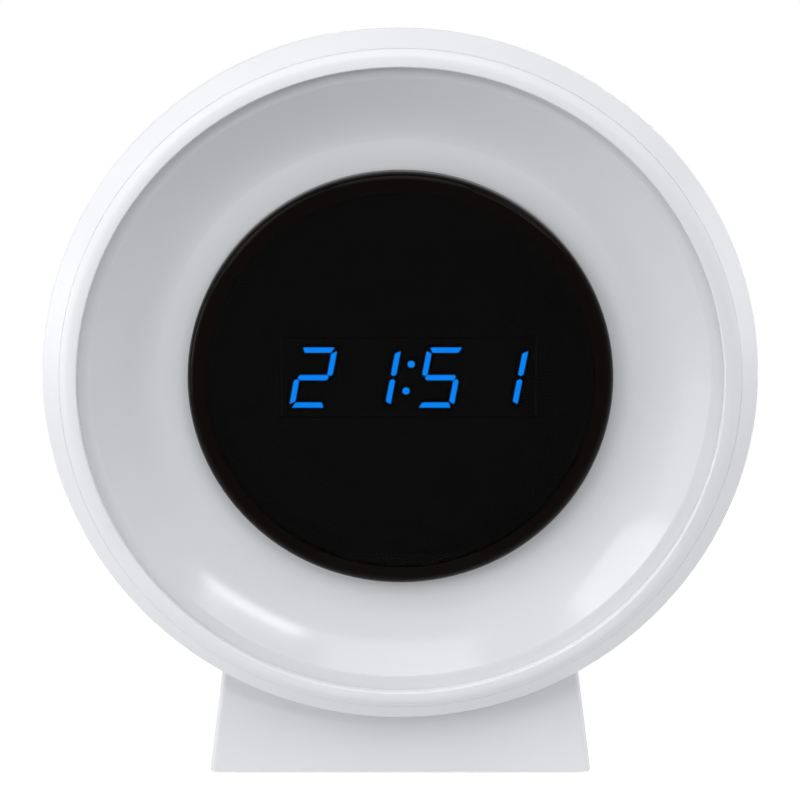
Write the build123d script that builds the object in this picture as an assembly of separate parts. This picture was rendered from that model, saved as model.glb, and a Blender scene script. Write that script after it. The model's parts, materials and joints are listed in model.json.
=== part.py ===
from build123d import *
import os
from math import cos, radians, sin, sqrt, tan

# Night light clock: a round head with a dished light ring and a dark display window, on a tapered stand.
# Lengths are millimetres and angles degrees. X is to the right seen from the front, Y runs to the back and
# Z is up. Everything is drawn about the head's axis, and a depth is a distance behind the crest of the rim.
# The clock is then moved so that its origin is under the middle of its box, on the surface it stands on.

# Rear housing
body_diameter = 113.0
body_depth = 40.0
wall = 2.4
rim_lip_width = 2.8
rim_slope = 43.0
edge_band = 1.2
edge_radius = 0.6
rear_face_diameter = 90.0
rear_corner_radius = 4.0
bowl_bulge = 0.8

# Bezel ring, with snap lugs on its skirt
bead_width = 2.6
bead_curve_share = 0.94
bead_return = 0.25
bezel_lip_thickness = 1.15
bezel_shoulder = 1.7
seam_gap = 0.03
shelf_width = 1.0
skirt_wall = 1.1
skirt_length = 4.4
skirt_fit = 0.1
snap_count = 6
snap_width = 8.0
snap_proud = 0.4
snap_length = 1.2
snap_fit = 0.15

# Light diffuser
dish_depth = 6.4
dish_wall = 1.8
flange_show = 1.9
flange_fall = 0.3
flange_thickness = 1.5
flange_fit = 0.2
flange_gap = 0.1
flange_round = 1.2
dish_flat_share = 0.31
dish_bend_share = 0.54

# Display lens and its gasket
lens_diameter = 67.4
lens_thickness = 2.6
lens_ledge = 3.0
lens_round_share = 0.55
lens_fit = 0.2
lens_groove_width = 0.5
lens_groove_depth = 0.25
gasket_thickness = 0.4
gasket_inset = 0.5

# Display module, its segments, pins and shroud
module_width = 40.2
module_height = 12.8
module_depth = 7.0
display_gap = 0.4
display_shift_x = 1.3
display_shift_z = -0.2
digit_width = 6.0
digit_height = 9.9
digit_pitch = 10.1
digit_slant = 10.5
stroke = 0.86
flat_inset = 0.5
upright_inset = 0.6
stroke_bevel = 0.42
middle_inset = 0.55
middle_gap = 0.25
middle_bevel = 0.28
segment_thickness = 0.6
colon_diameter = 1.15
colon_spacing = 4.4
pin_diameter = 0.5
pin_pitch = 2.54
pins_in_row = 6
pin_row_inset = 1.3
pin_tail = 1.4
pin_fit = 0.1
shroud_wall = 1.5
shroud_offset = 1.0
shroud_web = 1.2
shroud_web_gap = 0.3
shroud_window_fit = 0.3
lit_segments = ("abged", "bc", "afgcd", "bc")
all_segments = "abcdefg"

# Main board and what it carries
board_thickness = 1.6
led_count = 12
led_size = 5.0
led_height = 1.6
led_dome_diameter = 4.0
led_dome_height = 0.4
led_edge_gap = 0.75
chip_width = 10.2
chip_height = 7.6
chip_thickness = 2.4
chip_x = -16.0
chip_z = 9.0
crystal_diameter = 3.0
crystal_length = 8.0
crystal_x = -16.0
crystal_z = -2.0
capacitor_diameter = 6.3
capacitor_height_share = 0.57
capacitor_x = 15.0
capacitor_z = 12.0
capacitor_pitch = 9.0
capacitor_count = 2
link_width = 20.6
link_height = 2.5
link_base_share = 0.2
link_socket_share = 0.57
link_pin_diameter = 0.64
link_pin_count = 8
link_pin_fit = 0.05
link_z = -20.0

# Posts, bosses and screws that hold the head together
post_count = 4
post_start = 45.0
post_diameter = 8.4
boss_diameter = 6.4
boss_gap = 0.5
screw_fit = 0.1
screw_hole_fit = 0.3
head_fit = 0.4
tip_margin = 1.2
housing_screw_diameter = 2.9
housing_screw_length = 16.0
housing_head_diameter = 5.2
housing_head_height = 2.0
small_screw_diameter = 2.3
small_screw_length = 6.0
small_head_diameter = 4.2
small_head_height = 1.5
recess_length_share = 0.62
recess_width_share = 0.16
recess_depth_share = 0.55
head_round_share = 0.33

# Control board
control_board_gap = 0.6
control_boss_count = 3
control_boss_start = 90.0
control_boss_diameter = 5.4
control_boss_inset = 1.5

# Rear buttons over their tact switches
button_names = ("alarm_button", "minus_button", "time_button", "plus_button", "light_button")
button_post_gap = 0.8
button_pitch = 13.0
cap_diameter = 8.0
cap_proud = 1.0
cap_edge_radius = 0.5
cap_dish_depth = 0.25
cap_dish_diameter = 5.6
button_fit = 0.25
button_flange_diameter = 10.4
button_flange_thickness = 1.0
button_flange_gap = 0.1
button_travel = 0.7
stem_diameter = 3.0
stem_length = 0.5
tact_size = 6.0
tact_height = 3.5
plunger_diameter = 3.4
plunger_proud = 1.5
plunger_depth = 1.2
plunger_fit = 0.15

# Sounder and its grille
sounder_diameter = 12.0
sounder_height = 5.4
sounder_gap = 1.2
sounder_port_diameter = 2.0
sounder_port_depth = 1.5
grille_hole_diameter = 1.6
grille_ring_diameter = 6.4
grille_count = 6

# Slide switch
switch_x = -22.0
switch_z = -3.0
switch_travel = 4.0
switch_case_width = 9.0
switch_case_height = 4.0
switch_case_thickness = 3.4
lever_size = 1.6
lever_depth = 1.6
lever_fit = 0.15
knob_width = 3.6
knob_height = 2.8
knob_proud = 1.0
knob_fit = 0.25
knob_flange_height = 5.4
knob_flange_thickness = 1.0
knob_flange_gap = 0.15
knob_overlap = 0.3
knob_edge_radius = 0.4

# Power inlet
inlet_x = 22.0
inlet_z = -3.0
inlet_width = 9.0
inlet_height = 3.3
inlet_wall = 0.35
inlet_recess = 0.6
inlet_fit = 0.3
tongue_width = 6.7
tongue_thickness = 0.7
tongue_recess = 0.8

# Backup cell, its holder and contacts, and the turn-off door
coin_gap = 0.9
coin_diameter = 20.0
coin_thickness = 3.2
coin_fit = 0.25
holder_wall = 1.8
contact_thickness = 0.5
contact_width = 3.2
contact_reach = 2.0
door_diameter = 25.6
door_thickness = 1.2
door_fit = 0.25
door_gap = 0.1
door_skirt_wall = 1.5
door_throat_margin = 0.6
lug_count = 3
lug_width = 5.0
lug_reach = 1.5
lug_thickness = 1.0
lug_gap = 0.15
door_turn = 45.0
coin_slot_length = 13.0
coin_slot_width = 1.8
coin_slot_depth = 0.6

# Stand
rim_clearance = 11.4
stand_front_depth = 9.0
stand_depth = 35.0
stand_width = 62.6
stand_height = 30.0
stand_side_taper = 7.3
stand_rear_lean = 28.0
stand_wall = 2.4
stand_edge_radius = 0.8
saddle_gap = 0.1
stand_screw_spread = 24.0
stand_screw_depth = 22.0
stand_screw_web = 3.0
stand_screw_bite = 7.0
stand_tube_diameter = 9.0
stand_boss_diameter = 6.8
base_thickness = 2.0
base_fit = 0.2
base_screw_depths = (15.0, 33.0)
pillar_diameter = 6.0
foot_diameter = 8.0
foot_thickness = 1.2
foot_recess = 0.7
foot_inset = 7.0
foot_fit = 0.1

# Overrun of every cut past the face that it opens
overrun = 1.0

# Worked out: the rim, from the widest edge in to the mouth
body_radius = body_diameter / 2
seam_radius = body_radius - rim_lip_width
crest_radius = seam_radius - bead_width
bezel_inner_radius = crest_radius - bead_return
rise_per_width = tan(radians(rim_slope))
bead_arc_width = bead_width * bead_curve_share
bead_radius = bead_arc_width / sin(radians(rim_slope))
bead_arc_depth = bead_radius * (1 - cos(radians(rim_slope)))
seam_depth = bead_arc_depth + (bead_width - bead_arc_width) * rise_per_width
rim_depth = seam_depth + rim_lip_width * rise_per_width
shelf_depth = seam_depth + bezel_shoulder
rim_inner_radius = seam_radius - shelf_width
skirt_outer_radius = rim_inner_radius - skirt_fit
skirt_inner_radius = skirt_outer_radius - skirt_wall
skirt_end = shelf_depth + skirt_length
lip_under = bead_return + bezel_lip_thickness
bowl_start = rim_depth + edge_band
rear_inner = body_depth - wall

# Worked out: the dish, the lens and the display behind it
lens_radius = lens_diameter / 2
window_radius = lens_radius - lens_ledge
dish_hole_radius = window_radius + lens_fit
flange_front = lip_under + flange_gap
flange_back = flange_front + flange_thickness
flange_outer_radius = skirt_inner_radius - flange_fit
flange_inner_radius = bezel_inner_radius - flange_show
dish_back = dish_depth + dish_wall
dish_rim_depth = flange_front + flange_fall
dish_flat_radius = lens_radius + (flange_inner_radius - lens_radius) * dish_flat_share
dish_bend_radius = lens_radius + (flange_inner_radius - lens_radius) * dish_bend_share
lens_seat = dish_depth - gasket_thickness
lens_front = lens_seat - lens_thickness
display_face = dish_back + display_gap
main_front = display_face + module_depth
main_back = main_front + board_thickness
shroud_inner_radius = dish_hole_radius + shroud_offset
shroud_outer_radius = shroud_inner_radius + shroud_wall
post_radius = post_diameter / 2
post_ring_radius = shroud_outer_radius + boss_gap + boss_diameter / 2
housing_tip = dish_back + tip_margin
housing_seat = housing_tip + housing_screw_length


def bowl_radius(depth):
    """The head's outer radius at a depth behind its widest edge."""
    share = (depth - bowl_start) / (body_depth - bowl_start)
    straight = body_radius - (body_radius - rear_face_diameter / 2) * share
    return straight + 4 * bowl_bulge * share * (1 - share)


# Worked out: the main board ends halfway between the posts and the wall, with the light sources at its edge
main_board_radius = (post_ring_radius + post_radius + bowl_radius(main_back) - wall) / 2
led_ring_radius = main_board_radius - led_edge_gap - led_size / 2

# Worked out: the control board stands off the rear wall by what a button needs
button_stack = button_flange_gap + button_flange_thickness + stem_length + plunger_proud + tact_height
control_back = rear_inner - button_stack
control_front = control_back - board_thickness
control_radius = post_ring_radius - post_radius - control_board_gap
control_boss_ring = control_radius - control_boss_diameter / 2 - control_boss_inset
board_gap = control_front - main_back

# Worked out: the rear controls lie under one another, below the upper posts
button_flange_radius = button_flange_diameter / 2
upper_post_z = post_ring_radius * sin(radians(post_start))
button_row_z = upper_post_z - post_radius - button_post_gap - button_flange_radius
sounder_z = button_row_z - button_flange_radius - sounder_gap - sounder_diameter / 2
coin_radius = coin_diameter / 2
holder_inner_radius = coin_radius + coin_fit
holder_outer_radius = holder_inner_radius + holder_wall
coin_z = sounder_z - sounder_diameter / 2 - coin_gap - holder_outer_radius

# Worked out: the screws' holes, and the ends of a cut through the rear wall
housing_pilot_radius = housing_screw_diameter / 2 + screw_fit
housing_hole_radius = housing_screw_diameter / 2 + screw_hole_fit
housing_head_hole_radius = housing_head_diameter / 2 + head_fit
small_pilot_radius = small_screw_diameter / 2 + screw_fit
small_hole_radius = small_screw_diameter / 2 + screw_hole_fit
small_head_hole_radius = small_head_diameter / 2 + head_fit
rear_cut_front = rear_inner - overrun
rear_cut_back = body_depth + overrun

# Worked out: the stand's levels and the place where its screws meet the housing
base_z = -body_radius - rim_clearance
plate_top = base_z + base_thickness
stand_top = base_z + stand_height
foot_proud = foot_thickness - foot_recess
saddle_z = -sqrt(bowl_radius(stand_screw_depth) ** 2 - (stand_screw_spread / 2) ** 2)
stand_seat_z = saddle_z - stand_screw_web
stand_tip_z = saddle_z + wall + stand_screw_bite
overall_depth = max(stand_front_depth + stand_depth, body_depth + cap_proud)


def disc(radius, front, back, x=0, z=0):
    """A round bar along the depth, between two depths."""
    return Pos(x, (front + back) / 2, z) * Rot(90, 0, 0) * Cylinder(radius, back - front)


def ring(outer, inner, front, back, x=0, z=0):
    """A tube along the depth."""
    return disc(outer, front, back, x, z) - disc(inner, front - overrun, back + overrun, x, z)


def slab(width, height, front, back, x=0, z=0):
    """A block between two depths."""
    return Pos(x, (front + back) / 2, z) * Box(width, back - front, height)


def pillar(radius, x, depth, low, high):
    """An upright round bar between two heights."""
    return Pos(x, depth, (low + high) / 2) * Cylinder(radius, high - low)


def turned(edges):
    """A solid of revolution about the head's axis, from an outline of radius and depth."""
    return revolve(make_face(edges), Axis.Y)


def rounded(face, point, radius):
    """The face with the corner nearest to a point rounded."""
    return fillet(face.vertices().sort_by_distance(point)[0], radius)


def around(count, radius, start=0, x=0, z=0):
    """Places evenly spread on a circle that faces the front."""
    turns = [radians(start + 360 * index / count) for index in range(count)]
    return [(x + radius * cos(turn), z + radius * sin(turn)) for turn in turns]


def spokes(count, reach, width, front, back, start=0, x=0, z=0):
    """Bars from a centre outwards, one for each lug or notch."""
    centre = Pos(x, (front + back) / 2, z)
    bar = Pos(reach / 2, 0, 0) * Box(reach, back - front, width)
    return Part() + [centre * Rot(0, -start - 360 * index / count, 0) * bar for index in range(count)]


def screw(diameter, length, head_diameter, head_height):
    """A cross-head screw that points up, with its head under the origin."""
    shank = Pos(0, 0, length / 2) * Cylinder(diameter / 2, length)
    head = Pos(0, 0, -head_height / 2) * Cylinder(head_diameter / 2, head_height)
    head = fillet(head.edges().group_by(Axis.Z)[0], head_height * head_round_share)
    depth = head_height * recess_depth_share
    arm = Box(head_diameter * recess_length_share, head_diameter * recess_width_share, depth * 2)
    recess = Pos(0, 0, -head_height) * (arm + Rot(0, 0, 90) * arm)
    return shank + head - recess


def bowl(inset):
    """The filled outer form of the head behind the seam, drawn smaller by an inset."""
    widest = body_radius - inset
    rear = rear_face_diameter / 2 - inset
    back = body_depth - inset
    front_edges = Polyline((0, back), (0, seam_depth), (seam_radius, seam_depth), (widest, rim_depth),
                           (widest, bowl_start))
    side = SagittaArc((widest, bowl_start), (rear, back), -bowl_bulge)
    face = make_face([*front_edges.edges(), side, Line((rear, back), (0, back))])
    face = rounded(face, (widest, rim_depth), edge_radius)
    face = rounded(face, (widest, bowl_start), edge_radius)
    face = rounded(face, (rear, back), max(rear_corner_radius - inset, edge_radius))
    return revolve(face, Axis.Y)


def stand_block(inset, low, high):
    """The stand's tapered form, drawn smaller by an inset, between two heights."""
    def section(height):
        rise = height - base_z
        side_lean = rise * tan(radians(stand_side_taper)) + inset / cos(radians(stand_side_taper))
        rear_lean = rise * tan(radians(stand_rear_lean)) + inset / cos(radians(stand_rear_lean))
        half = stand_width / 2 - side_lean
        front = stand_front_depth + inset
        back = stand_front_depth + stand_depth - rear_lean
        return Pos(0, (front + back) / 2, height) * Rectangle(half * 2, back - front)
    return loft([section(low), section(high)], ruled=True)


nodes = {}
posts = around(post_count, post_ring_radius, post_start)
control_bosses = around(control_boss_count, control_boss_ring, control_boss_start)
button_xs = [button_pitch * (index - (len(button_names) - 1) / 2) for index in range(len(button_names))]
stand_screw_xs = (-stand_screw_spread / 2, stand_screw_spread / 2)

# Bezel ring: a sloped bead, an inner lip over the diffuser, and a skirt inside the housing's rim
crest = (crest_radius, 0)
bead_outer = JernArc(crest, (1, 0), bead_radius, rim_slope)
bead_inner = JernArc(crest, (-1, 0), bead_return, -90)
bezel_edge_radius = seam_radius - seam_gap
bezel_edge_depth = seam_depth - seam_gap * rise_per_width
bezel_path = Polyline(
    bead_outer @ 1,
    (bezel_edge_radius, bezel_edge_depth),
    (bezel_edge_radius, shelf_depth),
    (skirt_outer_radius, shelf_depth),
    (skirt_outer_radius, skirt_end),
    (skirt_inner_radius, skirt_end),
    (skirt_inner_radius, lip_under),
    (bezel_inner_radius, lip_under),
    bead_inner @ 1,
)
snap_back = skirt_end - snap_length
snap_front = snap_back - snap_length
snap_reach = skirt_outer_radius + snap_proud
snap_bars = spokes(snap_count, body_radius, snap_width, snap_front, snap_back)
snaps = ring(snap_reach, skirt_outer_radius - skirt_wall / 2, snap_front, snap_back) & snap_bars
nodes["bezel_ring"] = turned([bead_outer, *bezel_path.edges(), bead_inner]) + snaps

# Rear housing: a bowl with the rim's shelf, screw posts, board bosses and the openings in its rear wall
cavity = bowl(wall) & disc(rim_inner_radius, 0, body_depth)
housing = bowl(0) - cavity - disc(seam_radius, -overrun, shelf_depth)
pocket_front = snap_front - snap_fit
pocket_back = snap_back + snap_fit
pocket_bars = spokes(snap_count, body_radius, snap_width + 2 * snap_fit, pocket_front, pocket_back)
housing -= ring(snap_reach + snap_fit, rim_inner_radius - overrun, pocket_front, pocket_back) & pocket_bars
post_root = body_depth - wall / 2
housing += [disc(post_radius, main_back, post_root, x, z) for x, z in posts]
housing += [disc(control_boss_diameter / 2, control_back, post_root, x, z) for x, z in control_bosses]
for x in stand_screw_xs:
    boss = pillar(stand_boss_diameter / 2, x, stand_screw_depth, -body_radius, stand_tip_z + tip_margin)
    hole = pillar(housing_pilot_radius, x, stand_screw_depth, -body_radius, stand_tip_z + screw_fit)
    housing = housing + (boss & bowl(0)) - hole
for x, z in posts:
    housing -= disc(housing_hole_radius, main_back - overrun, housing_seat + overrun, x, z)
    housing -= disc(housing_head_hole_radius, housing_seat, rear_cut_back, x, z)
for x, z in control_bosses:
    pilot_end = control_front + small_screw_length + screw_fit
    housing -= disc(small_pilot_radius, control_back - overrun, pilot_end, x, z)
for x in button_xs:
    housing -= disc(cap_diameter / 2 + button_fit, rear_cut_front, rear_cut_back, x, button_row_z)
for x, z in [(0, sounder_z), *around(grille_count, grille_ring_diameter / 2, 0, 0, sounder_z)]:
    housing -= disc(grille_hole_diameter / 2, rear_cut_front, rear_cut_back, x, z)
slot_width = knob_width + switch_travel + 2 * knob_fit
slot_height = knob_height + 2 * knob_fit
housing -= slab(slot_width, slot_height, rear_cut_front, rear_cut_back, switch_x, switch_z)


def inlet_bar(grow, front, back):
    """The inlet's rounded oblong section, between two depths."""
    oblong = Plane.XZ * SlotOverall(inlet_width + 2 * grow, inlet_height + 2 * grow)
    return Pos(inlet_x, front, inlet_z) * extrude(oblong, back - front, dir=(0, 1, 0))


housing -= inlet_bar(inlet_fit, rear_cut_front, rear_cut_back)
throat_radius = coin_radius + door_throat_margin
door_seat = body_depth - door_thickness - door_gap
door_radius = door_diameter / 2
lug_radius = throat_radius - door_fit + lug_reach
housing -= disc(door_radius + door_fit, door_seat, rear_cut_back, 0, coin_z)
housing -= disc(throat_radius, rear_cut_front, body_depth, 0, coin_z)
notch_width = lug_width + 2 * door_fit
notch_bars = spokes(lug_count, door_radius, notch_width, rear_cut_front, body_depth, -door_turn, 0, coin_z)
housing -= disc(lug_radius + door_fit, rear_cut_front, body_depth, 0, coin_z) & notch_bars
nodes["rear_housing"] = housing

# Light diffuser: a flange under the bezel's lip, a hollow curve down to a flat ring, and bosses behind


def dish_curve(shift):
    """The dish's hollow line from its flat ring out to the flange, moved back by a shift."""
    flat_end = (dish_flat_radius, dish_depth + shift)
    bend = (dish_bend_radius, dish_depth + shift)
    return Bezier(flat_end, bend, (flange_inner_radius, dish_rim_depth + shift))


dish_rim = (flange_inner_radius, dish_rim_depth)
flange_path = Polyline(
    (flange_inner_radius, dish_rim_depth + dish_wall),
    (flange_inner_radius, flange_back),
    (flange_outer_radius, flange_back),
    (flange_outer_radius, flange_front),
    (bezel_inner_radius, flange_front),
    dish_rim,
)
flat_path = Polyline(
    (dish_flat_radius, dish_depth),
    (dish_hole_radius, dish_depth),
    (dish_hole_radius, dish_back),
    (dish_flat_radius, dish_back),
)
dish_face = make_face([dish_curve(0), *flat_path.edges(), dish_curve(dish_wall), *flange_path.edges()])
dish_face = rounded(dish_face, dish_rim, flange_round)
diffuser = revolve(dish_face, Axis.Y)
for x, z in posts:
    diffuser += disc(boss_diameter / 2, dish_depth + dish_wall / 2, main_front, x, z)
for x, z in posts:
    diffuser -= disc(housing_pilot_radius, housing_tip - screw_fit, main_front + overrun, x, z)
nodes["light_diffuser"] = diffuser

# Display lens on its gasket: a rounded flange with a fine groove, and a plug in the dish's hole
lens = disc(lens_radius, lens_front, lens_seat)
lens = fillet(lens.edges().group_by(Axis.Y)[0], lens_thickness * lens_round_share)
lens += disc(window_radius, lens_seat, dish_back)
groove_inner = window_radius - lens_groove_width
lens -= ring(window_radius, groove_inner, lens_front - overrun, lens_front + lens_groove_depth)
nodes["display_lens"] = lens
nodes["lens_gasket"] = ring(lens_radius - gasket_inset, dish_hole_radius, lens_seat, dish_depth)


# Display: slanted seven-segment digits set flush into the module's face
def segment_outline(name):
    """A segment's corners about the middle of its digit, before the slant."""
    x_edge = digit_width / 2
    z_edge = digit_height / 2
    inner = x_edge - stroke
    flat_end = x_edge - flat_inset
    flat = [(-flat_end, z_edge), (flat_end, z_edge),
            (flat_end - stroke_bevel, z_edge - stroke), (stroke_bevel - flat_end, z_edge - stroke)]
    middle_end = x_edge - middle_inset
    middle_flat = middle_end - middle_bevel
    middle = [(-middle_end, 0), (-middle_flat, stroke / 2), (middle_flat, stroke / 2),
              (middle_end, 0), (middle_flat, -stroke / 2), (-middle_flat, -stroke / 2)]
    upright_end = z_edge - upright_inset
    upright = [(-x_edge, upright_end), (-inner, upright_end - stroke_bevel),
               (-inner, middle_gap + middle_bevel), (stroke / 2 - x_edge, middle_gap),
               (-x_edge, middle_gap + middle_bevel)]
    forms = {"a": (flat, 1, 1), "d": (flat, 1, -1), "g": (middle, 1, 1), "f": (upright, 1, 1),
             "b": (upright, -1, 1), "e": (upright, 1, -1), "c": (upright, -1, -1)}
    points, flip_x, flip_z = forms[name]
    return [(x * flip_x, z * flip_z) for x, z in points]


def segment(name, digit_x):
    """One segment as a flat bar, slanted with its digit."""
    lean = tan(radians(digit_slant))
    corners = [(digit_x + x + z * lean, 0, z) for x, z in segment_outline(name)]
    face = make_face(Polyline(*corners, close=True))
    place = Pos(display_shift_x, display_face, display_shift_z)
    return place * extrude(face, segment_thickness, dir=(0, 1, 0))


lit = []
dark = []
for index, names in enumerate(lit_segments):
    digit_x = digit_pitch * (index - (len(lit_segments) - 1) / 2)
    for name in all_segments:
        (lit if name in names else dark).append(segment(name, digit_x))
for side in (-1, 1):
    dot_z = side * colon_spacing / 2
    dot_x = display_shift_x + dot_z * tan(radians(digit_slant))
    dot_back = display_face + segment_thickness
    lit.append(disc(colon_diameter / 2, display_face, dot_back, dot_x, display_shift_z + dot_z))
nodes["display_segments_lit"] = Compound(lit)
nodes["display_segments_dark"] = Compound(dark)
module = slab(module_width, module_height, display_face, main_front, display_shift_x, display_shift_z)
nodes["display_module"] = module - lit - dark

pin_places = []
for side in (-1, 1):
    for index in range(pins_in_row):
        pin_x = display_shift_x + pin_pitch * (index - (pins_in_row - 1) / 2)
        pin_places.append((pin_x, display_shift_z + side * (module_height / 2 - pin_row_inset)))
pins = [disc(pin_diameter / 2, main_front, main_back + pin_tail, x, z) for x, z in pin_places]
nodes["display_pins"] = Compound(pins)

shroud = ring(shroud_outer_radius, shroud_inner_radius, dish_back, main_front)
web_front = dish_back + shroud_web_gap
shroud += disc(shroud_inner_radius + shroud_wall / 2, web_front, web_front + shroud_web)
shroud -= slab(module_width + 2 * shroud_window_fit, module_height + 2 * shroud_window_fit,
               web_front - overrun, web_front + shroud_web + overrun, display_shift_x, display_shift_z)
nodes["display_shroud"] = shroud

# Main board, clamped between the diffuser's bosses and the housing's posts
main_board = disc(main_board_radius, main_front, main_back)
main_board -= [
    disc(housing_hole_radius, main_front - overrun, main_back + overrun, x, z) for x, z in posts
]
main_board -= [
    disc(pin_diameter / 2 + pin_fit, main_front - overrun, main_back + overrun, x, z) for x, z in pin_places
]
nodes["main_board"] = main_board
leds = []
for index in range(led_count):
    turn = Rot(0, -360 * index / led_count, 0)
    package = slab(led_size, led_size, main_front - led_height, main_front, led_ring_radius)
    dome_back = main_front - led_height
    dome = disc(led_dome_diameter / 2, dome_back - led_dome_height, dome_back, led_ring_radius)
    leds.append(turn * (package + dome))
nodes["ring_leds"] = Compound(leds)
chip_back = main_back + chip_thickness
nodes["microcontroller"] = slab(chip_width, chip_height, main_back, chip_back, chip_x, chip_z)
crystal = Rot(0, 90, 0) * Cylinder(crystal_diameter / 2, crystal_length)
nodes["clock_crystal"] = Pos(crystal_x, main_back + crystal_diameter / 2, crystal_z) * crystal
for index in range(capacitor_count):
    can_z = capacitor_z - index * capacitor_pitch
    can_back = main_back + board_gap * capacitor_height_share
    can = disc(capacitor_diameter / 2, main_back, can_back, capacitor_x, can_z)
    nodes[f"capacitor_{index + 1}"] = can
link_pitch = link_width / link_pin_count
link_xs = [link_pitch * (index - (link_pin_count - 1) / 2) for index in range(link_pin_count)]
link_radius = link_pin_diameter / 2
link_pins = [disc(link_radius, main_back, control_front, x, link_z) for x in link_xs]
link_holes = [
    disc(link_radius + link_pin_fit, main_back - overrun, control_front + overrun, x, link_z) for x in link_xs
]
link_base_back = main_back + board_gap * link_base_share
link_socket_front = control_front - board_gap * link_socket_share
link_base = slab(link_width, link_height, main_back, link_base_back, 0, link_z)
link_socket = slab(link_width, link_height, link_socket_front, control_front, 0, link_z)
nodes["link_header"] = link_base - link_holes
nodes["link_socket"] = link_socket - link_holes
nodes["link_pins"] = Compound(link_pins)

# Control board behind the rear wall
control_board = disc(control_radius, control_front, control_back)
control_board -= [
    disc(small_hole_radius, control_front - overrun, control_back + overrun, x, z) for x, z in control_bosses
]
nodes["control_board"] = control_board

# Rear buttons, each over the plunger of a tact switch
tact_top = control_back + tact_height
plunger_top = tact_top + plunger_proud
plunger_end = tact_top - plunger_depth
flange_end = rear_inner - button_flange_gap
cap_end = body_depth + cap_proud
tacts = []
for name, x in zip(button_names, button_xs):
    z = button_row_z
    tact = slab(tact_size, tact_size, control_back, tact_top, x, z)
    bore_end = plunger_end - button_travel - plunger_fit
    tacts.append(tact - disc(plunger_diameter / 2 + plunger_fit, bore_end, tact_top + overrun, x, z))
    nodes[name.replace("button", "plunger")] = disc(plunger_diameter / 2, plunger_end, plunger_top, x, z)
    cap = disc(cap_diameter / 2, flange_end - button_flange_thickness, cap_end, x, z)
    cap = fillet(cap.edges().group_by(Axis.Y)[-1], cap_edge_radius)
    dish_radius = ((cap_dish_diameter / 2) ** 2 + cap_dish_depth ** 2) / (2 * cap_dish_depth)
    cap -= Pos(x, cap_end - cap_dish_depth + dish_radius, z) * Sphere(dish_radius)
    cap += disc(button_flange_radius, flange_end - button_flange_thickness, flange_end, x, z)
    nodes[name] = cap + disc(stem_diameter / 2, plunger_top, flange_end, x, z)
nodes["tact_switches"] = Compound(tacts)

# Sounder under the grille
sounder_top = control_back + sounder_height
sounder = disc(sounder_diameter / 2, control_back, sounder_top, 0, sounder_z)
port = disc(sounder_port_diameter / 2, sounder_top - sounder_port_depth, sounder_top + overrun, 0, sounder_z)
nodes["sounder"] = sounder - port

# Slide switch: a case on the board, a lever, and a knob in the wall's slot, at rest at the end of its travel
case_top = control_back + switch_case_thickness
knob_flange_back = rear_inner - knob_flange_gap
knob_flange_front = knob_flange_back - knob_flange_thickness
rest_x = switch_x - switch_travel / 2
lever_end = case_top - lever_depth
lever_slot_height = lever_size + 2 * lever_fit
lever_slot_width = lever_slot_height + switch_travel
lever_slot_front = lever_end - lever_fit
case = slab(switch_case_width, switch_case_height, control_back, case_top, switch_x, switch_z)
case -= slab(lever_slot_width, lever_slot_height, lever_slot_front, case_top + overrun, switch_x, switch_z)
nodes["switch_case"] = case
nodes["switch_lever"] = slab(lever_size, lever_size, lever_end, knob_flange_front, rest_x, switch_z)
knob = slab(knob_width, knob_height, knob_flange_front, body_depth + knob_proud, rest_x, switch_z)
knob = fillet(knob.edges().group_by(Axis.Y)[-1], knob_edge_radius)
knob_flange_width = slot_width + switch_travel + 2 * knob_overlap
knob += slab(knob_flange_width, knob_flange_height, knob_flange_front, knob_flange_back, rest_x, switch_z)
nodes["switch_knob"] = knob

# Power inlet: a metal shell that stands on the board, with a contact tongue inside
inlet_end = body_depth - inlet_recess
shell_floor = control_back + inlet_wall
inlet_inside = inlet_bar(-inlet_wall, shell_floor, inlet_end + overrun)
nodes["inlet_shell"] = inlet_bar(0, control_back, inlet_end) - inlet_inside
tongue_end = inlet_end - tongue_recess
nodes["inlet_tongue"] = slab(tongue_width, tongue_thickness, shell_floor, tongue_end, inlet_x, inlet_z)

# Backup cell in a ring holder, between two contacts
cell_front = control_back + contact_thickness
cell_back = cell_front + coin_thickness
nodes["coin_holder"] = ring(holder_outer_radius, holder_inner_radius, control_back, cell_back, 0, coin_z)
nodes["backup_cell"] = disc(coin_radius, cell_front, cell_back, 0, coin_z)
nodes["under_contact"] = slab(coin_radius, contact_width, control_back, cell_front, 0, coin_z)
clip_width = contact_reach + coin_fit + holder_wall
clip_x = coin_radius - contact_reach + clip_width / 2
clip_back = cell_back + contact_thickness
nodes["over_contact"] = slab(clip_width, contact_width, cell_back, clip_back, clip_x, coin_z)

# Battery door: a flush disc with a coin slot, and lugs that lock behind the rear wall
skirt_radius = throat_radius - door_fit
lug_back = rear_inner - lug_gap
lug_front = lug_back - lug_thickness
door_front = body_depth - door_thickness
door = disc(door_radius, door_front, body_depth, 0, coin_z)
door += ring(skirt_radius, skirt_radius - door_skirt_wall, lug_front, door_front, 0, coin_z)
lug_bars = spokes(lug_count, door_radius, lug_width, lug_front, lug_back, 0, 0, coin_z)
door += ring(lug_radius, skirt_radius - door_skirt_wall / 2, lug_front, lug_back, 0, coin_z) & lug_bars
door -= slab(coin_slot_length, coin_slot_width, body_depth - coin_slot_depth, body_depth + overrun, 0, coin_z)
nodes["battery_door"] = door

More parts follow.
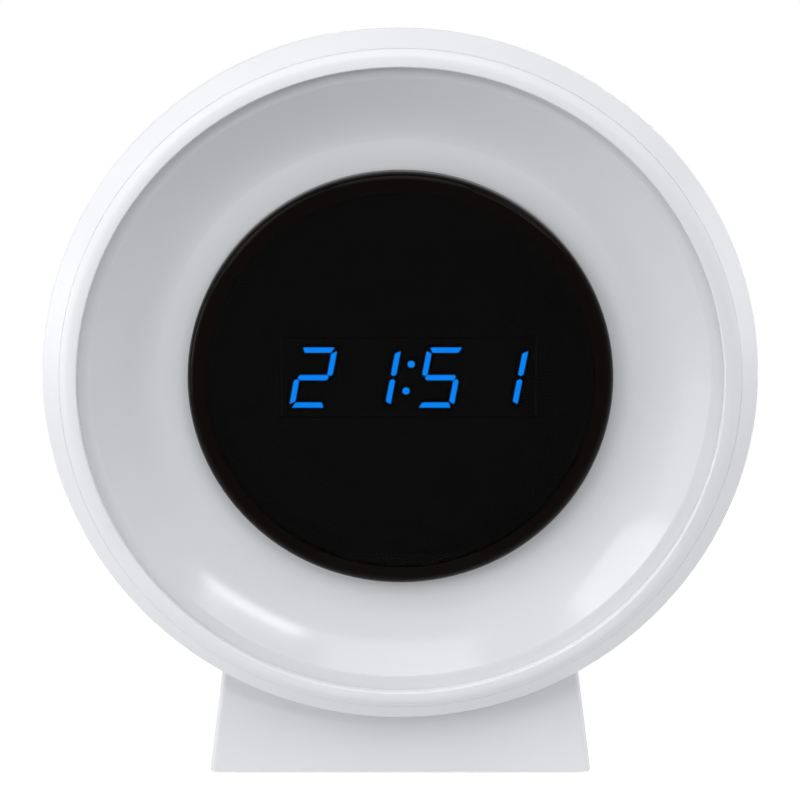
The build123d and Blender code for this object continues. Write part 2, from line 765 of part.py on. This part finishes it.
# Screws of the head
housing_screw = screw(
    housing_screw_diameter, housing_screw_length, housing_head_diameter, housing_head_height
)
for index, (x, z) in enumerate(posts, 1):
    nodes[f"housing_screw_{index}"] = Pos(x, housing_seat, z) * Rot(90, 0, 0) * housing_screw
small_screw = screw(small_screw_diameter, small_screw_length, small_head_diameter, small_head_height)
for index, (x, z) in enumerate(control_bosses, 1):
    nodes[f"board_screw_{index}"] = Pos(x, control_front, z) * Rot(-90, 0, 0) * small_screw

# Stand shell: hollow, cut to the head's form, with screw tubes up to the saddle and pillars for the base
stand_form = stand_block(0, base_z, stand_top)
upright_edges = stand_form.edges().filter_by(lambda edge: abs((edge % 0.5).Z) > 0.5)
stand_form = fillet(upright_edges, stand_edge_radius) - bowl(-saddle_gap)
hollow = stand_block(stand_wall, base_z - overrun, stand_top) - bowl(-saddle_gap - stand_wall)
stand = stand_form - hollow
for x in stand_screw_xs:
    stand += pillar(stand_tube_diameter / 2, x, stand_screw_depth, plate_top, stand_top) & stand_form
for depth in base_screw_depths:
    stand += pillar(pillar_diameter / 2, 0, depth, plate_top, stand_top) & stand_form
for x in stand_screw_xs:
    stand -= pillar(housing_hole_radius, x, stand_screw_depth, stand_seat_z - overrun, stand_top)
    stand -= pillar(housing_head_hole_radius, x, stand_screw_depth, base_z - overrun, stand_seat_z)
base_tip_z = base_z + small_screw_length
for depth in base_screw_depths:
    stand -= pillar(small_pilot_radius, 0, depth, base_z, base_tip_z + screw_fit)
nodes["stand_shell"] = stand
stand_screw_length = stand_tip_z - stand_seat_z
stand_screw = screw(housing_screw_diameter, stand_screw_length, housing_head_diameter, housing_head_height)
for index, x in enumerate(stand_screw_xs, 1):
    nodes[f"stand_screw_{index}"] = Pos(x, stand_screw_depth, stand_seat_z) * stand_screw

# Stand base: a plate inside the shell's foot, with sunk screw heads and recesses for the rubber feet
base = stand_block(stand_wall + base_fit, base_z, plate_top)
base_seat_z = base_z + small_head_height
for depth in base_screw_depths:
    base -= pillar(small_hole_radius, 0, depth, base_z - overrun, plate_top + overrun)
    base -= pillar(small_head_hole_radius, 0, depth, base_z - overrun, base_seat_z)
foot_x = stand_width / 2 - stand_wall - foot_inset
foot_front = stand_front_depth + stand_wall + foot_inset
foot_back = stand_front_depth + stand_depth - stand_wall - foot_inset
foot_places = [(x, depth) for x in (-foot_x, foot_x) for depth in (foot_front, foot_back)]
foot_top = base_z + foot_recess
for x, depth in foot_places:
    base -= pillar(foot_diameter / 2 + foot_fit, x, depth, base_z - overrun, foot_top)
nodes["stand_base"] = base
base_shank = base_tip_z - base_seat_z
base_screw = screw(small_screw_diameter, base_shank, small_head_diameter, small_head_height)
for index, depth in enumerate(base_screw_depths, 1):
    nodes[f"base_screw_{index}"] = Pos(0, depth, base_seat_z) * base_screw
for index, (x, depth) in enumerate(foot_places, 1):
    nodes[f"rubber_foot_{index}"] = pillar(foot_diameter / 2, x, depth, base_z - foot_proud, foot_top)

# Every piece, moved so that the origin is under the middle of the clock
place = Pos(0, -overall_depth / 2, foot_proud - base_z)
os.makedirs("parts", exist_ok=True)
for name, shape in nodes.items():
    export_step(place * shape, f"parts/{name}.step")
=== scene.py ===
import json
from math import cos, radians, sin
import bpy
from mathutils import Matrix, Vector

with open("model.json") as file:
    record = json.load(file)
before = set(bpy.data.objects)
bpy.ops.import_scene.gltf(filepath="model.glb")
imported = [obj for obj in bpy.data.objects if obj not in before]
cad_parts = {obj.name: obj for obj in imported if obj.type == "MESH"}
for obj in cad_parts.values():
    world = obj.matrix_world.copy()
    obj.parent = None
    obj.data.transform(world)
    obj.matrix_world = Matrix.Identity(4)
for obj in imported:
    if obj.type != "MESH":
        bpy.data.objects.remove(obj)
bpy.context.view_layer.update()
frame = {"nodes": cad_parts, "record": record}

MM = 0.001
WHITE = (1, 1, 1, 1)

# The head's front and the height of the dial's middle, in millimetres
HEAD_FRONT = -22.0
DIAL_HEIGHT = 68.4
DIAL_MIDDLE = Vector((0.0, HEAD_FRONT, DIAL_HEIGHT)) * MM

# Camera: a long lens before the dial, looking a little down on it
CAMERA_DISTANCE = 550 * MM
CAMERA_ELEVATION = 15.72
CAMERA_TARGET = Vector((-0.07, HEAD_FRONT, 66.47)) * MM
CAMERA_LENS = 157.6
CAMERA_SENSOR = 36.0

# Lamps: place in metres from the dial's middle, size across and up in metres, roll in degrees, watts
LAMPS = {
    "over_softbox": ((0.0, -0.6, 0.9), (0.8, 0.5), 0, 3.8),
    "high_left_softbox": ((-0.75, -0.6, 0.75), (0.6, 0.6), 0, 2.3),
    "left_softbox": ((-1.0, -0.35, 0.2), (1.0, 1.2), 0, 3.2),
    "low_left_softbox": ((-1.0, -0.1, -0.02), (0.7, 0.35), 0, 2.0),
    "high_right_softbox": ((0.75, -0.6, 0.75), (0.6, 0.6), 0, 1.8),
    "right_edge_softbox": ((1.0, 0.15, 0.1), (0.6, 0.6), 0, 3.5),
    "front_panel": ((0.0, -0.8, 0.6), (0.5, 0.25), 0, 0.7),
    "front_left_panel": ((-0.648, -0.658, 0.282), (0.35, 0.3), 0, 1.1),
    "front_right_strip": ((0.424, -0.766, 0.418), (0.34, 0.09), -36, 0.8),
    "back_softbox": ((0.3, 1.0, 0.5), (0.9, 0.6), 0, 4.0),
}
AMBIENT = 0.17

# Floor and surround: white where they are seen, and a plain level where they light the clock
FLOOR_SIDE = 0.28
FLOOR_CLOUD = 1 / FLOOR_SIDE
FLOOR_LOW = (0.73, 0.73, 0.73)
FLOOR_HIGH = (0.75, 0.75, 0.75)
FLOOR_ROUGH = 1.0
FLOOR_SPECULAR = 0.0
FLOOR_SEEN = 0.6
SURROUND_SEEN = 1.0

# Plastics: two near colours for the cloud, and a range for the roughness
PLASTICS = {
    "shell_white": ((0.794, 0.805, 0.838), (0.809, 0.820, 0.853), (0.32, 0.38)),
    # the stand's white is the shell white made darker: painted shade on the stand
    "stand_white_painted_shade": ((0.726, 0.737, 0.767), (0.741, 0.752, 0.782), (0.32, 0.38)),
    "diffuser_opal": ((0.674, 0.685, 0.714), (0.689, 0.700, 0.729), (0.12, 0.15)),
    "button_white": ((0.760, 0.765, 0.790), (0.780, 0.785, 0.810), (0.32, 0.40)),
    "knob_grey": ((0.070, 0.075, 0.085), (0.090, 0.095, 0.105), (0.40, 0.50)),
    "foot_rubber": ((0.030, 0.030, 0.032), (0.045, 0.045, 0.048), (0.70, 0.85)),
    "gasket_foam": ((0.030, 0.028, 0.026), (0.040, 0.037, 0.034), (0.80, 0.90)),
    "moulded_black": ((0.004, 0.004, 0.005), (0.006, 0.006, 0.007), (0.60, 0.70)),
    "segment_dark": ((0.005, 0.006, 0.010), (0.006, 0.008, 0.014), (0.60, 0.70)),
    "segment_lit": ((0.000, 0.050, 0.250), (0.000, 0.060, 0.300), (0.40, 0.50)),
    "plunger_black": ((0.020, 0.020, 0.020), (0.030, 0.030, 0.030), (0.40, 0.50)),
    "board_green": ((0.010, 0.100, 0.040), (0.012, 0.120, 0.050), (0.30, 0.40)),
    "led_white": ((0.750, 0.700, 0.450), (0.800, 0.760, 0.520), (0.30, 0.40)),
}
PLASTIC_CLOUD = 60
PLASTIC_GRAIN = 6000
PLASTIC_GRAIN_STRENGTH = 0.08
STAND_PIECES = ("stand_shell", "stand_base")
DULL_PLASTICS = ("gasket_foam", "moulded_black", "segment_dark")
DULL_SPECULAR = 0.1
SEGMENT_GLOW = (0.0, 0.246, 1.0, 1)
SEGMENT_STRENGTH = 5.7

# Lens: a smoked window, with a dark brown border printed round it
LENS_SMOKE = (0.15, 0.15, 0.15)
LENS_BORDER = (0.0020, 0.0007, 0.0002)
LENS_ROUGH = (0.00, 0.02)
LENS_INDEX = 1.49
LENS_TINT = (0.08, 0.08, 0.08, 1)
LENS_MIDDLE = (0.0, 0.0, DIAL_HEIGHT * MM)
ACROSS_DIAL = (1, 0, 1)
LENS_BORDER_RADIUS = 30.7 * MM

# Bare metals, in the same terms
METALS = {
    "contact_metal": ((0.70, 0.70, 0.71), (0.78, 0.78, 0.79), (0.20, 0.30)),
    "capacitor_can": ((0.60, 0.60, 0.62), (0.70, 0.70, 0.72), (0.30, 0.40)),
    "screw_steel": ((0.45, 0.45, 0.47), (0.55, 0.55, 0.57), (0.30, 0.45)),
    "cell_steel": ((0.62, 0.62, 0.63), (0.72, 0.72, 0.73), (0.25, 0.35)),
}
METAL_CLOUD = 900
METAL_GRAIN = 4000
METAL_GRAIN_STRENGTH = 0.15
METALLIC = 1.0

# Grain and cloud on every surface
GRAIN_HEIGHT = 0.02 * MM
CLOUD_RANGE = (0.3, 0.7)


def new_material(name):
    """A material with an empty tree, and its shader."""
    material = bpy.data.materials.new(name)
    material.use_nodes = True
    tree = material.node_tree
    tree.nodes.clear()
    output = tree.nodes.new("ShaderNodeOutputMaterial")
    shader = tree.nodes.new("ShaderNodeBsdfPrincipled")
    tree.links.new(shader.outputs["BSDF"], output.inputs["Surface"])
    return material, tree, shader


def noise(tree, scale):
    """A noise in object space, at a scale in features per metre."""
    place = tree.nodes.new("ShaderNodeTexCoord")
    texture = tree.nodes.new("ShaderNodeTexNoise")
    texture.inputs["Scale"].default_value = scale
    tree.links.new(place.outputs["Object"], texture.inputs["Vector"])
    return texture.outputs["Fac"]


def blend(tree, factor, low, high):
    """Two colours blended by a factor."""
    ramp = tree.nodes.new("ShaderNodeValToRGB")
    for element, position, colour in zip(ramp.color_ramp.elements, CLOUD_RANGE, (low, high)):
        element.position = position
        element.color = (*colour, 1)
    tree.links.new(factor, ramp.inputs["Fac"])
    return ramp.outputs["Color"]


def spread(tree, factor, low, high):
    """A factor mapped to a range."""
    mapped = tree.nodes.new("ShaderNodeMapRange")
    mapped.inputs["To Min"].default_value = low
    mapped.inputs["To Max"].default_value = high
    tree.links.new(factor, mapped.inputs["Value"])
    return mapped.outputs["Result"]


def surfaced(name, low, high, rough, cloud, grain, strength):
    """A material with a faint cloud in its colour, an uneven gloss and a fine grain."""
    material, tree, shader = new_material(name)
    cloudy = noise(tree, cloud)
    tree.links.new(blend(tree, cloudy, low, high), shader.inputs["Base Color"])
    tree.links.new(spread(tree, cloudy, *rough), shader.inputs["Roughness"])
    bump = tree.nodes.new("ShaderNodeBump")
    bump.inputs["Strength"].default_value = strength
    bump.inputs["Distance"].default_value = GRAIN_HEIGHT
    tree.links.new(noise(tree, grain), bump.inputs["Height"])
    tree.links.new(bump.outputs["Normal"], shader.inputs["Normal"])
    return material, shader


def within(tree, middle, radius):
    """1 within a radius of an axis that runs from front to back, and 0 beyond it."""
    place = tree.nodes.new("ShaderNodeTexCoord")
    moved = tree.nodes.new("ShaderNodeVectorMath")
    moved.operation = "SUBTRACT"
    moved.inputs[1].default_value = middle
    flat = tree.nodes.new("ShaderNodeVectorMath")
    flat.operation = "MULTIPLY"
    flat.inputs[1].default_value = ACROSS_DIAL
    away = tree.nodes.new("ShaderNodeVectorMath")
    away.operation = "LENGTH"
    near = tree.nodes.new("ShaderNodeMath")
    near.operation = "LESS_THAN"
    near.inputs[1].default_value = radius
    tree.links.new(place.outputs["Object"], moved.inputs[0])
    tree.links.new(moved.outputs["Vector"], flat.inputs[0])
    tree.links.new(flat.outputs["Vector"], away.inputs[0])
    tree.links.new(away.outputs["Value"], near.inputs[0])
    return near.outputs["Value"]


def seen(tree):
    """1 on a ray that shows the surround: from the camera, off a gloss or through a clear piece."""
    path = tree.nodes.new("ShaderNodeLightPath")
    total = path.outputs["Is Camera Ray"]
    for name in ("Is Glossy Ray", "Is Transmission Ray"):
        larger = tree.nodes.new("ShaderNodeMath")
        larger.operation = "MAXIMUM"
        tree.links.new(total, larger.inputs[0])
        tree.links.new(path.outputs[name], larger.inputs[1])
        total = larger.outputs["Value"]
    return total


# Plastics and metals
materials = {}
shaders = {}
for name, (low, high, rough) in PLASTICS.items():
    materials[name], shaders[name] = surfaced(name, low, high, rough, PLASTIC_CLOUD, PLASTIC_GRAIN,
                                              PLASTIC_GRAIN_STRENGTH)
for name, (low, high, rough) in METALS.items():
    materials[name], shaders[name] = surfaced(name, low, high, rough, METAL_CLOUD, METAL_GRAIN,
                                              METAL_GRAIN_STRENGTH)
    shaders[name].inputs["Metallic"].default_value = METALLIC
for name in DULL_PLASTICS:
    shaders[name].inputs["Specular IOR Level"].default_value = DULL_SPECULAR
shaders["segment_lit"].inputs["Emission Color"].default_value = SEGMENT_GLOW
shaders["segment_lit"].inputs["Emission Strength"].default_value = SEGMENT_STRENGTH

# Lens
materials["lens_smoked"], lens_tree, lens_shader = new_material("lens_smoked")
window = within(lens_tree, LENS_MIDDLE, LENS_BORDER_RADIUS)
lens_colour = blend(lens_tree, window, LENS_BORDER, LENS_SMOKE)
lens_rough = spread(lens_tree, noise(lens_tree, PLASTIC_CLOUD), *LENS_ROUGH)
lens_tree.links.new(lens_colour, lens_shader.inputs["Base Color"])
lens_tree.links.new(lens_rough, lens_shader.inputs["Roughness"])
lens_tree.links.new(window, lens_shader.inputs["Transmission Weight"])
lens_shader.inputs["IOR"].default_value = LENS_INDEX
lens_shader.inputs["Specular Tint"].default_value = LENS_TINT

# Every piece keeps its shape and takes the material of its slot, but the stand takes a darker copy of
# the shell white, as painted shade
for part in frame["record"]["subparts"]:
    finish_and_painted_shade = "stand_white_painted_shade" if part["node"] in STAND_PIECES else part["material_slot"]
    mesh = frame["nodes"][part["node"]].data
    mesh.materials.clear()
    mesh.materials.append(materials[finish_and_painted_shade])

# Floor
half = FLOOR_SIDE / 2
floor_mesh = bpy.data.meshes.new("floor")
floor_mesh.from_pydata([(-half, -half, 0), (half, -half, 0), (half, half, 0), (-half, half, 0)], [],
                       [(0, 1, 2, 3)])
floor = bpy.data.objects.new("floor", floor_mesh)
bpy.context.scene.collection.objects.link(floor)
floor_material, floor_tree, floor_shader = new_material("pale_floor")
floor_colour = blend(floor_tree, noise(floor_tree, FLOOR_CLOUD), FLOOR_LOW, FLOOR_HIGH)
floor_tree.links.new(floor_colour, floor_shader.inputs["Base Color"])
floor_shader.inputs["Roughness"].default_value = FLOOR_ROUGH
floor_shader.inputs["Specular IOR Level"].default_value = FLOOR_SPECULAR
floor_shader.inputs["Emission Color"].default_value = WHITE
floor_glow = spread(floor_tree, seen(floor_tree), 0.0, FLOOR_SEEN)
floor_tree.links.new(floor_glow, floor_shader.inputs["Emission Strength"])
floor_mesh.materials.append(floor_material)

# Surround
world = bpy.data.worlds.new("surround")
world.use_nodes = True
bpy.context.scene.world = world
surround = world.node_tree.nodes["Background"]
surround.inputs["Color"].default_value = WHITE
level = spread(world.node_tree, seen(world.node_tree), AMBIENT, SURROUND_SEEN)
world.node_tree.links.new(level, surround.inputs["Strength"])

# Lamps, each turned to the dial's middle
for name, (place, (across, up), roll, power) in LAMPS.items():
    lamp = bpy.data.lights.new(name, "AREA")
    lamp.shape = "RECTANGLE"
    lamp.size = across
    lamp.size_y = up
    lamp.energy = power
    holder = bpy.data.objects.new(name, lamp)
    aim = (-Vector(place)).to_track_quat("-Z", "Y").to_matrix() @ Matrix.Rotation(radians(roll), 3, "Z")
    holder.matrix_world = Matrix.Translation(DIAL_MIDDLE + Vector(place)) @ aim.to_4x4()
    bpy.context.scene.collection.objects.link(holder)

# Camera
camera_data = bpy.data.cameras.new("camera")
camera_data.lens = CAMERA_LENS
camera_data.sensor_width = CAMERA_SENSOR
camera = bpy.data.objects.new("camera", camera_data)
lift = radians(CAMERA_ELEVATION)
camera.location = CAMERA_TARGET + CAMERA_DISTANCE * Vector((0, -cos(lift), sin(lift)))
camera.rotation_euler = (CAMERA_TARGET - camera.location).to_track_quat("-Z", "Y").to_euler()
bpy.context.scene.collection.objects.link(camera)
bpy.context.scene.camera = camera
bpy.context.scene.view_settings.view_transform = "Standard"
